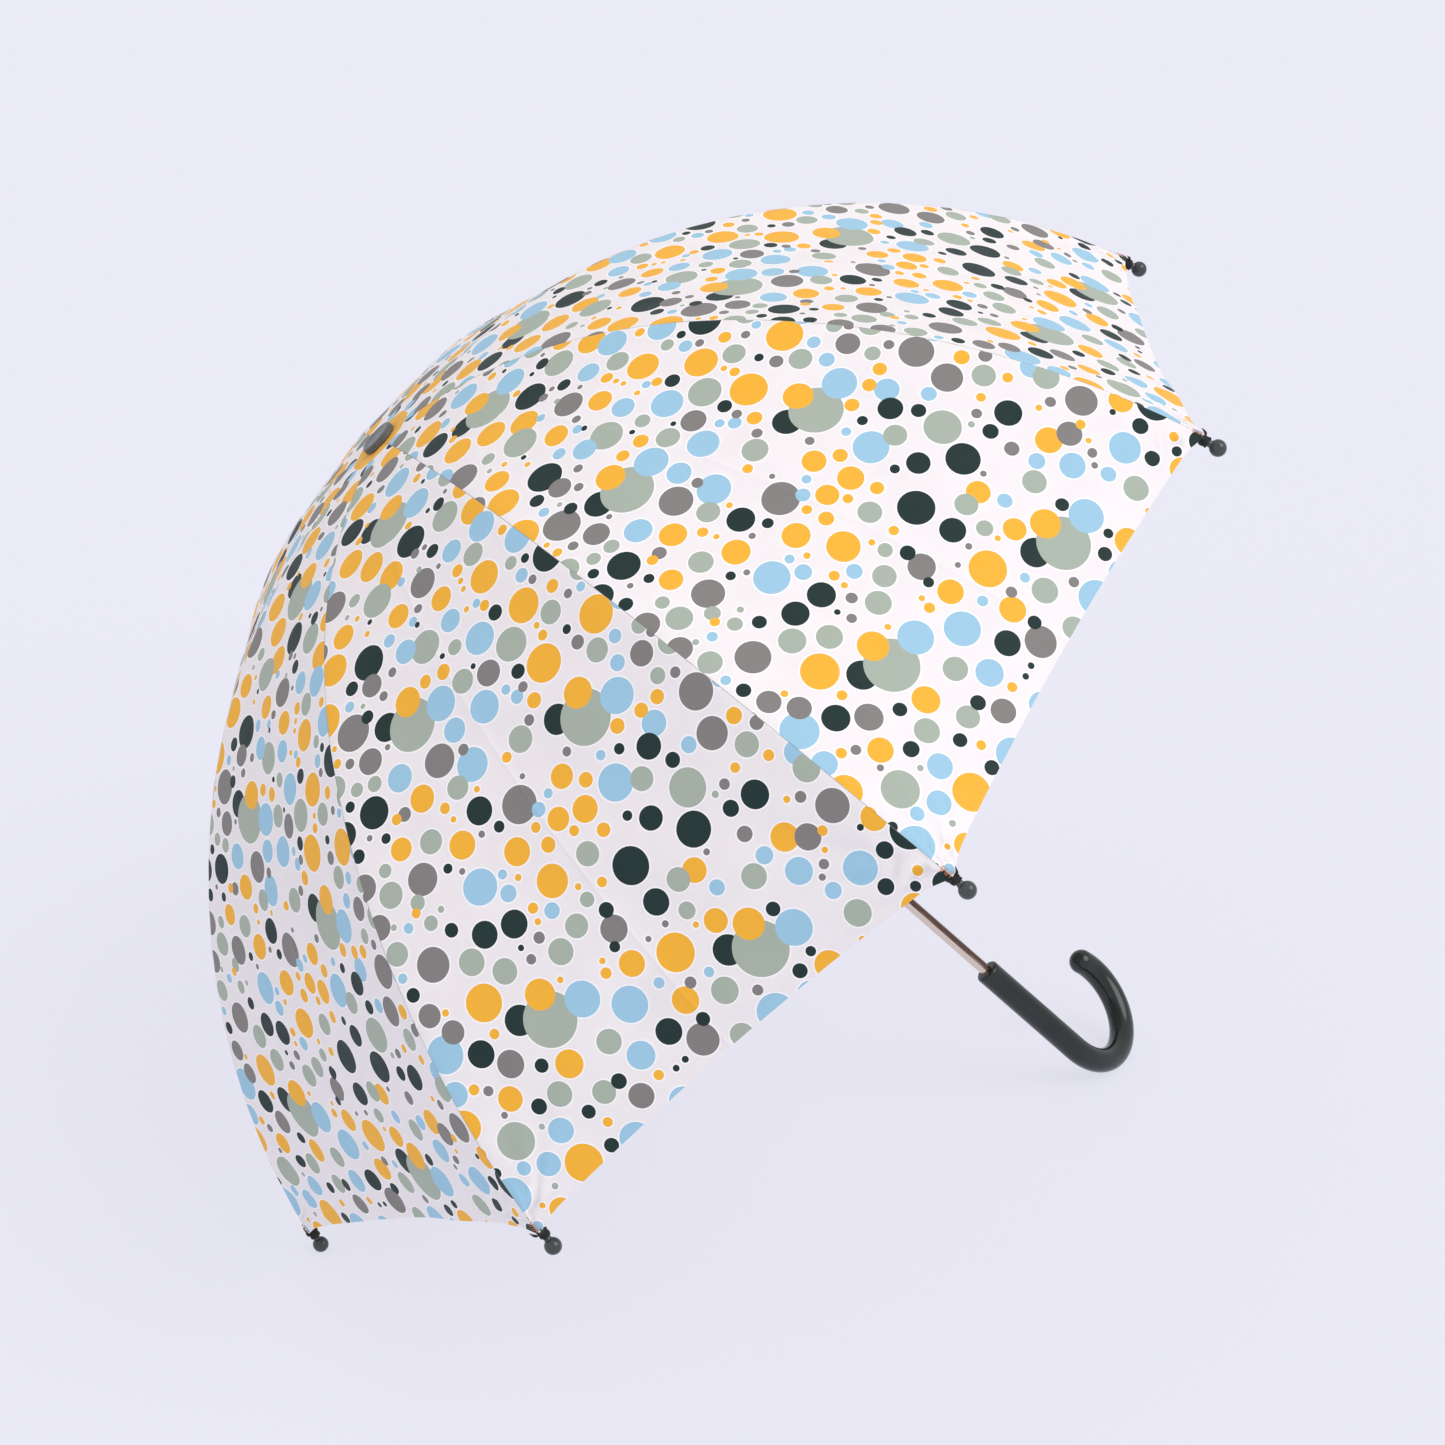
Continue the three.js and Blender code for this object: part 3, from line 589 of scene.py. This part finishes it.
def canopy_grid(k, lower):
    """Both halves of the cloth beside rib k, as rows of points with their flat coordinates."""
    start = UPPER_LENGTH if lower else HOLE_RADIUS - START_RADIUS
    rows = panel_rows(lower)
    halves = []
    for sign in (-1, 1):
        gore = k if sign > 0 else (k - 1) % RIBS
        points, normals, flats, edges = [], [], [], []
        for share, depth, inner in rows:
            s_guess = np.array([start + max(share, 0) * ((RIB_LENGTH if lower else UPPER_LENGTH) - start)])
            half_width = seam_point(s_guess)[0] * math.sin(HALF_GORE)
            across = column_shares(half_width, None if lower else underlap(s_guess))[0]
            side = -sign * (1 - across)
            end = hem_distance(side) if lower else UPPER_LENGTH
            s = start + (share * (end - start) if share >= 0 else share * FLAP * (1 - side * side)) + 0 * side
            width = seam_point(s)[0] * math.sin(HALF_GORE)
            normal = gore_normal(s, side, gore)
            points.append(gore_point(s, side, gore, depth + UNDERLAP_DEPTH * (across > 1 + 1e-9)))
            normals.append(-normal if inner else normal)
            flats.append(np.stack([side * width, s, 0 * s], -1))
            edges.append(np.stack([across * width, hem_distance(side) - s, (1 - across) * width], -1))
        spin = np.array(Matrix.Rotation(sign * HALF_GORE, 3, "Z"))
        turned_parts = [np.array(part) @ spin.T for part in (points, normals)]
        halves.append(turned_parts + [np.array(flats), np.array(edges)])
    return halves, rows


def add_attribute(mesh, name, kind, domain, values):
    attribute = mesh.attributes.new(name, kind, domain)
    field = "color" if kind == "FLOAT_COLOR" else "vector"
    attribute.data.foreach_set(field, np.asarray(values, np.float32).ravel())


def canopy_panel(k, lower):
    """The cloth over half of rib k, from one gore's middle to the next one's, as one sheet."""
    halves, rows = canopy_grid(k, lower)
    row_count, half_columns = len(rows), halves[0][0].shape[1]
    left = [part[:, ::-1] for part in halves[0]]
    points = np.concatenate([left[0][:, :-1], halves[1][0]], 1)
    columns = points.shape[1]
    faces = [face[::-1] for face in grid_faces(row_count, columns)]
    to_row = turned(rib_azimuth(k))
    name = f"canopy_{'lower' if lower else 'upper'}_{k + 1}"
    panel = mesh_object(name, points.reshape(-1, 3), faces, "cloth", to_row)
    mesh = panel.data
    loops = np.zeros(len(mesh.loops), int)
    mesh.loops.foreach_get("vertex_index", loops)
    starts = np.zeros(len(mesh.polygons), int)
    mesh.polygons.foreach_get("loop_start", starts)
    seam = half_columns - 1
    first_column = np.arange(len(faces)) % (columns - 1)
    on_left = np.repeat(first_column < seam, 4)
    row, column = loops // columns, loops % columns
    pick = np.where(on_left, column, column - seam)
    fields = []
    for part in (1, 2, 3):
        from_left = left[part][row, np.minimum(pick, half_columns - 1)]
        from_right = halves[1][part][row, np.clip(pick, 0, half_columns - 1)]
        fields.append(np.where(on_left[:, None], from_left, from_right))
    normals, flats, edges = fields
    add_attribute(mesh, "flat", "FLOAT_VECTOR", "CORNER", flats)
    add_attribute(mesh, "edge", "FLOAT_VECTOR", "CORNER", edges)
    per_face = flats.reshape(-1, 4, 3)[:, :, :2]
    spots = spots_on_faces(per_face.min(1), per_face.max(1))
    spots[:, :, 3] /= len(INK_COLOURS)
    for i in range(SPOTS_PER_FACE):
        add_attribute(mesh, f"spot_{i}", "FLOAT_COLOR", "FACE", spots[:, i])
    turn = np.array(to_row.to_3x3())
    mesh.normals_split_custom_set((normals @ turn.T).tolist())
    return panel


def panel_cut(lower):
    """A panel's flat width, length and area, from the dimensions that its cloth is cut to.

    Each half of a panel is ruled by straight lines across its gore, so it lies flat with its length
    along the gore's middle and its width square to that.
    """
    end = float(np.mean(hem_distance(np.linspace(-1, 1, 401)))) if lower else UPPER_LENGTH
    s = np.linspace(UPPER_LENGTH if lower else HOLE_RADIUS - START_RADIUS, end, 401)
    r, z, _ = seam_point(s)
    steps = np.hypot(np.diff(r * math.cos(HALF_GORE)), np.diff(z))
    widths = 2 * r * math.sin(HALF_GORE)
    if not lower:
        widths = widths + 2 * underlap(s)
    area = float(np.sum(steps * (widths[1:] + widths[:-1]) / 2))
    length = float(steps.sum())
    if lower:
        area += HEM_TURN * float(widths[-1]) + FLAP * float(widths[0]) * 2 / 3
        length += HEM_TURN + FLAP
    return float(widths.max()), length, area


def dress_canopy():
    """Sixteen panels that meet at the gores' middles and at the rib joints."""
    for k in range(RIBS):
        for lower in (False, True):
            panel = canopy_panel(k, lower)
            body = f"rib_{k + 1}_end" if lower else f"rib_{k + 1}"
            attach(panel, body)
            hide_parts(f"gore_{k + 1}")
            width, length, area = panel_cut(lower)
            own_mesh(panel)


# ------------------------------------------------------------ handle, cap and tips

STITCHES = 5


def handle_top():
    return float(seam_point(RIB_LENGTH)[1]) - HANDLE_GAP


def crook_point(distance):
    turn = max(0.0, distance - GRIP_LENGTH) / CROOK_RADIUS
    drop = min(distance, GRIP_LENGTH) + CROOK_RADIUS * math.sin(turn)
    out = CROOK_RADIUS * (1 - math.cos(turn))
    return (-math.cos(CROOK_TURN) * out, -math.sin(CROOK_TURN) * out, handle_top() - drop)


def make_handle():
    """A moulded crook with a rounded rim at its top and a domed end."""
    total = GRIP_LENGTH + CROOK_RADIUS * CROOK_SWEEP
    rim = 1.6 * MM
    distances, radii = [], []
    for angle in np.radians(np.linspace(0, 90, 7)):
        distances.append(rim * (1 - math.cos(angle)))
        radii.append(HANDLE_RADIUS - rim + rim * math.sin(angle))
    for distance in np.linspace(rim, total, 110)[1:]:
        distances.append(distance)
        radii.append(HANDLE_RADIUS)
    centres = [crook_point(d) for d in distances]
    end = np.array(centres[-1]) - np.array(centres[-2])
    end /= np.linalg.norm(end)
    for angle in np.radians(np.linspace(0, 88, 12))[1:]:
        centres.append(np.array(crook_point(total)) + end * (HANDLE_RADIUS * 0.985 * math.sin(angle)))
        radii.append(HANDLE_RADIUS * math.cos(angle))
    points, faces = tube(centres, radii, 56)
    handle = sharpen(mesh_object("crook_handle_skin", points, faces, "handle"), 50)
    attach(handle, "frame")
    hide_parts("crook_handle")


def make_cap():
    """The crown's cap: a flat top, a rounded edge and a finely fluted side."""
    edge = 1.0 * MM
    outline = [(SHAFT_RADIUS + CLEARANCE, CAP_BOTTOM), (CAP_RADIUS - 0.6 * MM, CAP_BOTTOM)]
    outline += arc((CAP_RADIUS - 0.6 * MM, CAP_BOTTOM + 0.6 * MM), 0.6 * MM, -60, 0, 4)
    flutes = (len(outline) - 1, len(outline))
    outline += arc((CAP_RADIUS - edge, CAP_TOP - edge), edge, 0, 90, 7)
    outline += [(CAP_RADIUS - 2.2 * MM, CAP_TOP), (CAP_RADIUS - 2.6 * MM, CAP_TOP - 0.15 * MM)]

    def flute(angle, row):
        return -0.18 * MM * (0.5 + 0.5 * math.cos(60 * angle)) if row in flutes else 0.0

    points, faces = lathe(outline, 240, flute)
    cap = sharpen(mesh_object("top_cap_skin", points, faces, "cap"), 50)
    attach(cap, "frame")
    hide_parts("top_cap")


def tip_frame(k):
    """Row-frame placing with z along the rib's end and the origin at its end."""
    r, z, slope = (float(v) for v in seam_point(RIB_LENGTH))
    origin = Vector((r - RIB_DEPTH * math.sin(slope), 0, z - RIB_DEPTH * math.cos(slope)))
    along = Vector((math.cos(slope), 0, -math.sin(slope)))
    outward = Vector((math.sin(slope), 0, math.cos(slope)))
    axes = Matrix((outward, along.cross(outward), along)).transposed().to_4x4()
    return turned(rib_azimuth(k)) @ Matrix.Translation(origin) @ axes


def tip_outline():
    """A ball on a short waisted neck, from the rib's end to the ball's pole."""
    join = math.degrees(math.asin(TIP_NECK_RADIUS / BALL_RADIUS))
    neck = [
        (0.9 * MM, -1.5 * MM), (TIP_NECK_RADIUS - 0.3 * MM, -1.5 * MM), (TIP_NECK_RADIUS, -1.2 * MM),
        (TIP_NECK_RADIUS, 2.2 * MM), (TIP_NECK_RADIUS - 0.25 * MM, 3.4 * MM)]
    ball = arc((0, TIP_OFFSET), BALL_RADIUS, join - 90, 86, 22)
    return neck + ball


def winding(radius, height, wire, turns, wobble, sides=7):
    """A few turns of thread round z."""
    steps = 16 * turns
    centres = []
    for i in range(steps + 1):
        angle = 2 * math.pi * i / 16
        r = radius + wobble * math.sin(2.3 * angle)
        rise = wire * 1.7 * angle / (2 * math.pi)
        centres.append((r * math.cos(angle), r * math.sin(angle), height + rise))
    return tube(centres, [wire] * len(centres), sides)


def bent_line(start, middle, end, wire, swell=0.0, steps=14):
    """A thread, or a leaf-like tab if it swells, on a smooth bent line."""
    a, b, c = (np.array(p, float) for p in (start, middle, end))
    t = np.linspace(0, 1, steps)[:, None]
    centres = (1 - t) ** 2 * a + 2 * t * (1 - t) * b + t * t * c
    radii = wire + swell * np.sin(math.pi * np.linspace(0, 1, steps)) ** 1.5
    return tube(centres, radii, 8)


def merge(parts):
    points, faces = [], []
    for more_points, more_faces in parts:
        base = len(points)
        points += list(more_points)
        faces += [tuple(base + k for k in face) for face in more_faces]
    return points, faces


def tie_parts(k):
    """The black tie on a tip's neck: tight turns and the knot's two ends, bent up to either side."""
    parts = [winding(TIP_NECK_RADIUS + 0.45 * MM, -0.6 * MM, 0.5 * MM, 5, 0.16 * MM)]
    for side in (-1, 1):
        reach = (4.6 + 0.7 * math.sin(2.1 * k + side)) * MM
        height = (2.6 + 0.8 * math.cos(1.7 * k + 2 * side)) * MM
        start, middle = (1.8 * MM, side * 1.4 * MM, 0.8 * MM), (3.4 * MM, side * reach * 0.6, 1.0 * MM)
        end = (height + 1.6 * MM, side * reach, -2.6 * MM)
        parts.append(bent_line(start, middle, end, 0.22 * MM, 0.55 * MM))
    return merge(parts)


def corner_stitches(k):
    """Orange stitches that close the seam at the hem's corner."""
    parts = []
    for i in range(STITCHES):
        side = 1 if i % 2 else -1
        z = -(1.2 + 1.3 * i) * MM
        lift = RIB_DEPTH + 0.1 * MM
        slant = (0.5 + 0.3 * math.sin(2.7 * k + i)) * MM
        parts.append(bent_line((lift - 0.5 * MM, -side * 1.5 * MM, z), (lift + 0.5 * MM, 0, z - slant),
                               (lift - 0.5 * MM, side * 1.5 * MM, z - slant), 0.2 * MM))
    return merge(parts)


def make_tips():
    """Each rib's end: a ball tip, the black tie that holds the hem's corner to it, and stitches."""
    for k in range(RIBS):
        place = tip_frame(k)
        tip = sharpen(mesh_object(f"tip_ball_{k + 1}", *lathe(tip_outline(), 40), "tip", place), 40)
        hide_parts(f"rib_tip_{k + 1}")
        tie = mesh_object(f"tip_tie_{k + 1}", *tie_parts(k), "thread", place)
        stitches = mesh_object(f"tip_stitches_{k + 1}", *corner_stitches(k), "orange", place)
        for piece, slot_name in ((tip, "dark_plastic"), (tie, "canopy_cloth"), (stitches, "canopy_cloth")):
            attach(piece, f"rib_{k + 1}_end")


# ------------------------------------------------------------ closing strap

STRAP_LIFT = 2.3 * MM


def strap_grid(columns=8, rows=40):
    """The strap's outline with a rounded free end, over one gore beside its middle."""
    half_hem = float(seam_point(RIB_LENGTH)[0]) * math.sin(HALF_GORE)
    points = []
    for i in range(rows + 1):
        along = STRAP_LENGTH * i / rows
        left = min(1.0, (STRAP_LENGTH - along) / (STRAP_WIDTH / 2))
        narrow = math.sqrt(max(0.0, 1 - (1 - left) ** 2))
        for j in range(columns + 1):
            across = (j / columns - 0.5) * STRAP_WIDTH * max(narrow, 0.02)
            s = float(hem_distance(0)) - 6 * MM - along
            width = float(seam_point(s)[0]) * math.sin(HALF_GORE)
            side = (STRAP_SIDE * half_hem + across) / width
            ripple = 0.25 * MM * math.sin(along * 160)
            points.append(gore_point(np.float64(s), np.float64(side), 5, -STRAP_LIFT - ripple, smooth=True))
    return points, grid_faces(rows + 1, columns + 1)


def make_strap():
    """A band of the canopy's cloth sewn to the hem."""
    points, faces = strap_grid()
    place = turned(rib_azimuth(5) + HALF_GORE)
    strap = mesh_object("closing_strap_band", points, faces, "strap", place)
    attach(strap, "rib_7_end")
    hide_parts("closing_strap")
    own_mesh(strap)


# ------------------------------------------------------------ CAD nodes that stay

STAYING = {
    "chrome": ["shaft"],
    "nylon": ["top_notch", "runner"],
    "spring": ["notch_ring", "runner_ring", "top_catch", "bottom_catch"]
    + [f"rib_rivet_{k + 1}" for k in range(RIBS)],
    "steel": [f"{part}_{k + 1}" for part in ("rib_upper", "rib_lower", "stretcher") for k in range(RIBS)],
}


def finish_cad_nodes():
    for material, names in STAYING.items():
        for name in names:
            mesh = frame["nodes"][name].data
            mesh.materials.clear()
            mesh.materials.append(materials[material])
            mesh.polygons.foreach_set("use_smooth", [True] * len(mesh.polygons))
            mesh.set_sharp_from_angle(angle=math.radians(35))


# ------------------------------------------------------------ stage, light and camera

CAMERA_PLACE = (0.0021, -1.6505, 1.0904)
CAMERA_AZIMUTH = math.radians(-0.46)
CAMERA_ELEVATION = math.radians(26.7)
CAMERA_ROLL = math.radians(-2.06)
CAMERA_LENS = 78.9
FLOOR_SIZE = 40
FLOOR_COLOUR = (0.15, 0.15, 0.165, 1)
FLOOR_GLOW = (0.80, 0.80, 0.90, 1)
FLOOR_GLOW_STRENGTH = 0.835
WORLD_COLOUR = (1.0, 0.975, 1.0, 1)
WORLD_STRENGTH = 0.76
LIGHTS = [  # name, energy, soft angle, colour, where it stands
    ("key", 1.32, 45, (1.0, 0.985, 0.97), (0.62, -0.30, 0.72)),
    ("fill", 0.22, 90, (0.97, 0.97, 1.0), (-0.85, -0.50, 0.30)),
    ("glint", 0.06, 8, (1.0, 1.0, 1.0), (-0.05, 0.20, 0.97)),
]


def make_stage():
    bpy.ops.mesh.primitive_plane_add(size=FLOOR_SIZE)
    floor = bpy.context.object
    floor.name = "studio_floor"
    made, _, shader = new_material("studio_floor", Roughness=0.95)
    shader.inputs["Base Color"].default_value = FLOOR_COLOUR
    shader.inputs["Specular IOR Level"].default_value = 0.0
    shader.inputs["Emission Color"].default_value = FLOOR_GLOW
    shader.inputs["Emission Strength"].default_value = FLOOR_GLOW_STRENGTH
    floor.data.materials.append(made)


def make_lights():
    world = bpy.data.worlds.new("studio")
    world.use_nodes = True
    world.node_tree.nodes["Background"].inputs["Color"].default_value = WORLD_COLOUR
    world.node_tree.nodes["Background"].inputs["Strength"].default_value = WORLD_STRENGTH
    bpy.context.scene.world = world
    for name, energy, angle, colour, towards in LIGHTS:
        light = bpy.data.objects.new(name, bpy.data.lights.new(name, "SUN"))
        light.data.energy = energy
        light.data.angle = math.radians(angle)
        light.data.color = colour
        light.rotation_mode = "QUATERNION"
        light.rotation_quaternion = Vector(towards).to_track_quat("Z", "Y")
        bpy.context.scene.collection.objects.link(light)


def make_camera():
    camera = bpy.data.objects.new("camera", bpy.data.cameras.new("camera"))
    bpy.context.scene.collection.objects.link(camera)
    camera.data.lens = CAMERA_LENS
    camera.data.sensor_width = 36
    camera.data.clip_end = 50
    turn = Matrix.Rotation(CAMERA_AZIMUTH, 4, "Z") @ Matrix.Rotation(math.pi / 2 - CAMERA_ELEVATION, 4, "X")
    camera.matrix_world = Matrix.Translation(CAMERA_PLACE) @ turn @ Matrix.Rotation(CAMERA_ROLL, 4, "Z")
    bpy.context.scene.camera = camera


make_camera()
make_lights()
make_stage()
bpy.context.scene.view_settings.view_transform = "Standard"
dress_canopy()
make_handle()
make_cap()
make_tips()
make_strap()
finish_cad_nodes()
